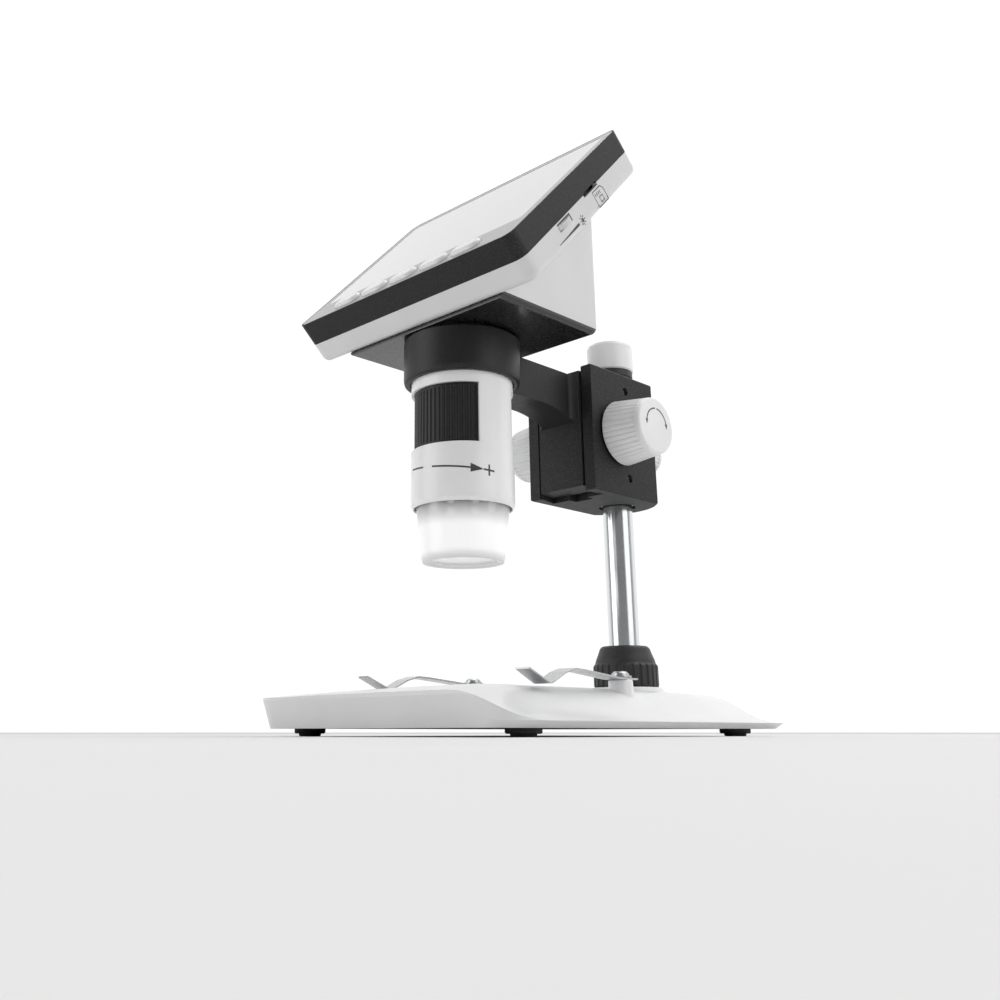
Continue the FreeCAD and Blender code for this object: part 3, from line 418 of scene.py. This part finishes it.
def mark(name, body, place, strokes, closed=()):
    """One mesh from strokes, each a list of (a, b, half width), laid on the surface by place(a, b, h)."""
    points = []
    faces = []
    for number, stroke in enumerate(strokes):
        ring = number in closed
        first = len(points)
        count = len(stroke)
        for i, (a, b, half) in enumerate(stroke):
            before = stroke[(i - 1) % count] if ring or i else stroke[0]
            after = stroke[(i + 1) % count] if ring or i < count - 1 else stroke[-1]
            along = Vector((after[0] - before[0], after[1] - before[1])).normalized()
            side = Vector((-along.y, along.x)) * half
            for sign, h in ((-1, MARK_LOW), (1, MARK_LOW), (1, MARK_HIGH), (-1, MARK_HIGH)):
                points.append(place(a + sign * side.x, b + sign * side.y, h))
        for i in range(count if ring else count - 1):
            low = first + 4 * i
            high = first + 4 * ((i + 1) % count)
            for k in range(4):
                faces.append((low + k, low + (k + 1) % 4, high + (k + 1) % 4, high + k))
        if not ring:
            faces.append((first + 3, first + 2, first + 1, first))
            last = first + 4 * (count - 1)
            faces.append((last, last + 1, last + 2, last + 3))
    mesh = bpy.data.meshes.new(name)
    mesh.from_pydata([p * MM for p in points], [], faces)
    mesh.materials.append(INK)
    made = bpy.data.objects.new(name, mesh)
    bpy.context.scene.collection.objects.link(made)
    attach(made, body)
    return made


def line(start, end, half, half_end=None, steps=1):
    """Straight stroke, tapered where half_end is given."""
    half_end = half if half_end is None else half_end
    return [
        (
            start[0] + (end[0] - start[0]) * i / steps,
            start[1] + (end[1] - start[1]) * i / steps,
            half + (half_end - half) * i / steps,
        )
        for i in range(steps + 1)
    ]


def arc(centre, r, start, end, half, steps):
    """Round stroke between two angles in degrees."""
    return [
        (
            centre[0] + r * math.cos(math.radians(start + (end - start) * i / steps)),
            centre[1] + r * math.sin(math.radians(start + (end - start) * i / steps)),
            half,
        )
        for i in range(steps + 1)
    ]


def on_case_side(u, n, h):
    """A point on the right side of the screen case: u up the screen, n out of its face."""
    lean = math.radians(SCREEN_TILT)
    return Vector(
        (
            CASE_SIDE_X + h,
            SCREEN_EDGE_Y + u * math.cos(lean) - n * math.sin(lean),
            SCREEN_EDGE_Z + u * math.sin(lean) + n * math.cos(lean),
        )
    )


def on_barrel(azimuth, z, h):
    turn = math.radians(azimuth)
    r = BARREL_R + h
    return Vector((r * math.cos(turn), BARREL_AXIS_Y + r * math.sin(turn), z))


def on_knob_face(y, z, h):
    return Vector((KNOB_FACE_X + h, KNOB_Y + y, KNOB_Z + z))


# Camera

def facing(place, direction):
    """Matrix for a camera or light at a place, in metres, that looks along a direction."""
    turn = direction.to_track_quat("-Z", "Y").to_matrix().to_4x4()
    return Matrix.Translation(place) @ turn


def camera():
    yaw = math.radians(CAMERA_YAW)
    pitch = math.radians(CAMERA_PITCH)
    data = bpy.data.cameras.new("photo_view")
    data.sensor_width = SENSOR
    data.lens = CAMERA_FOCAL * SENSOR / FRAME_SIZE
    data.shift_x = 0.5 - CAMERA_CENTRE[0] / FRAME_SIZE
    data.shift_y = CAMERA_CENTRE[1] / FRAME_SIZE - 0.5
    data.clip_start = 0.001
    data.clip_end = 50.0
    made = bpy.data.objects.new("photo_view", data)
    bpy.context.scene.collection.objects.link(made)
    aim = Vector((-math.sin(yaw) * math.cos(pitch), math.cos(yaw) * math.cos(pitch), math.sin(pitch)))
    made.matrix_world = facing(Vector(CAMERA_PLACE) * MM, aim)
    bpy.context.scene.camera = made


camera()


# Studio, in metres and watts

LIGHT_TARGET = (0.0, 0.0, 0.12)
SOFTBOXES = (
    ("left_softbox", (-0.50, -0.88, 0.30), 0.7, 2.8),
    ("right_softbox", (1.0, 0.15, 0.45), 0.8, 2.4),
    ("top_softbox", (0.25, 0.35, 1.2), 0.9, 4.6),
)
SKY_FRONT = 0.22
SKY_BACK = 1.04
SKY_TOP = 0.35
FLOOR_REACH = 4.0


def panel(name, place, size, power):
    """Soft square light that faces the object."""
    data = bpy.data.lights.new(name, "AREA")
    data.shape = "RECTANGLE"
    data.size = size
    data.size_y = size
    data.energy = power
    made = bpy.data.objects.new(name, data)
    bpy.context.scene.collection.objects.link(made)
    made.matrix_world = facing(Vector(place), Vector(LIGHT_TARGET) - Vector(place))


def glow(tree, direction, start, end, low, high):
    """Brightness of the sky that rises towards a direction."""
    spot = tree.nodes.new("ShaderNodeVectorMath")
    spot.operation = "DOT_PRODUCT"
    tree.links.new(tree.nodes["Texture Coordinate"].outputs["Generated"], spot.inputs[0])
    spot.inputs[1].default_value = Vector(direction).normalized()
    shade = tree.nodes.new("ShaderNodeMapRange")
    shade.interpolation_type = "SMOOTHSTEP"
    tree.links.new(spot.outputs["Value"], shade.inputs["Value"])
    for key, value in (("From Min", start), ("From Max", end), ("To Min", low), ("To Max", high)):
        shade.inputs[key].default_value = value
    return shade.outputs[0]


def studio():
    """White sweep behind, three softboxes and a dimmer front."""
    for name, place, size, power in SOFTBOXES:
        panel(name, place, size, power)
    world = bpy.data.worlds.new("white_studio")
    world.use_nodes = True
    tree = world.node_tree
    tree.nodes.new("ShaderNodeTexCoord")
    behind = glow(tree, (-0.55, 0.82, 0.10), -0.10, 0.45, SKY_FRONT, SKY_BACK)
    above = glow(tree, (0.20, 0.20, 0.96), 0.55, 1.0, 0.0, SKY_TOP)
    total = tree.nodes.new("ShaderNodeMath")
    total.operation = "ADD"
    tree.links.new(behind, total.inputs[0])
    tree.links.new(above, total.inputs[1])
    tree.links.new(total.outputs[0], tree.nodes["Background"].inputs["Strength"])
    tree.nodes["Background"].inputs["Color"].default_value = (1.0, 1.0, 1.0, 1.0)
    bpy.context.scene.world = world
    bpy.context.scene.view_settings.view_transform = "Standard"


studio()


def floor():
    """Plain pale sweep under the object."""
    s = Shader("pale_paper")
    s.set(
        Base_Color=s.mix(s.noise(0.05, 3.0), grey(0.74), grey(0.77)),
        Roughness=s.range(s.noise(0.002), 0.75, 0.9),
        Normal=s.bump(s.noise(0.0008), 0.00001),
    )
    mesh = bpy.data.meshes.new("floor")
    corners = [(x * FLOOR_REACH, y * FLOOR_REACH, 0.0) for x, y in ((-1, -1), (1, -1), (1, 1), (-1, 1))]
    mesh.from_pydata(corners, [], [(0, 1, 2, 3)])
    mesh.materials.append(s.material)
    made = bpy.data.objects.new("floor", mesh)
    bpy.context.scene.collection.objects.link(made)


floor()


# Marks

def card_symbol():
    """Memory card outline with a clipped corner, contact strokes and a chip square."""
    centre_u, centre_n = 64.0, -15.4
    half_u, half_n, clip, pen = 4.4, 3.3, 1.5, 0.22
    outline = [
        (-half_u, -half_n),
        (half_u, -half_n),
        (half_u, half_n - clip),
        (half_u - clip, half_n),
        (-half_u, half_n),
    ]
    strokes = [[(centre_u + u, centre_n + n, pen) for u, n in outline]]
    strokes += [
        line((centre_u - 3.0 + 1.3 * k, centre_n + 2.2), (centre_u - 3.0 + 1.3 * k, centre_n + 0.9), 0.2)
        for k in range(4)
    ]
    square = [(-1.2, -2.2), (1.6, -2.2), (1.6, 0.0), (-1.2, 0.0)]
    strokes.append([(centre_u + u, centre_n + n, 0.2) for u, n in square])
    mark("card_symbol", "head", on_case_side, strokes, closed=(0, 5))


def brightness_symbol():
    """Wedge line that thickens towards a small sun."""
    strokes = [line((23.0, -17.2), (41.3, -17.0), 0.10, 0.55)]
    centre = (44.6, -16.9)
    strokes.append(arc(centre, 0.55, 0, 330, 0.35, 11))
    for k in range(8):
        turn = math.radians(45 * k)
        ray = (math.cos(turn), math.sin(turn))
        strokes.append(
            line(
                (centre[0] + 1.25 * ray[0], centre[1] + 1.25 * ray[1]),
                (centre[0] + 2.2 * ray[0], centre[1] + 2.2 * ray[1]),
                0.16,
            )
        )
    mark("brightness_symbol", "head", on_case_side, strokes, closed=(1,))


def focus_marks():
    """Minus, long arrow and plus round the barrel; along it, places are azimuths in degrees."""
    first_azimuth, last_azimuth = -105.0, -18.0
    first_height, last_height = 100.0, 97.4
    plus_azimuth, plus_reach = -16.0, 2.2

    def height(azimuth):
        share = (azimuth - first_azimuth) / (last_azimuth - first_azimuth)
        return first_height + (last_height - first_height) * share

    def around(start, end, half, half_end=None, steps=10):
        return [(a, height(a), w) for a, _, w in line((start, 0.0), (end, 0.0), half, half_end, steps)]

    strokes = [
        around(-117, -93, 0.32),
        around(-80, -34, 0.34, steps=18),
        around(-37, -23, 1.75, 0.05, steps=6),
        around(-22.5, -9.5, 0.34, steps=5),
    ]
    mark("focus_marks", "head", on_barrel, strokes)
    middle = height(plus_azimuth)
    upright = [(plus_azimuth, middle - plus_reach, 0.95), (plus_azimuth, middle + plus_reach, 0.95)]
    mark("focus_plus", "head", on_barrel, [upright])


def turn_arrows():
    """Two turn arrows on the face of the lock knob."""
    centre = (0.4, 0.5)
    r = 7.2
    head_long = 2.0
    strokes = []
    for side, start, end in ((-1, 95, 172), (1, 85, 8)):
        strokes.append(arc(centre, r, start, end, 0.28, 14))
        tip = math.radians(end)
        foot = (centre[0] + r * math.cos(tip), centre[1] + r * math.sin(tip))
        head = line((foot[0], foot[1] + 0.3), (foot[0] + 0.15 * side, foot[1] - head_long), 0.85, 0.05)
        strokes.append(head)
    mark("turn_arrows", "lock", on_knob_face, strokes)


card_symbol()
brightness_symbol()
focus_marks()
turn_arrows()
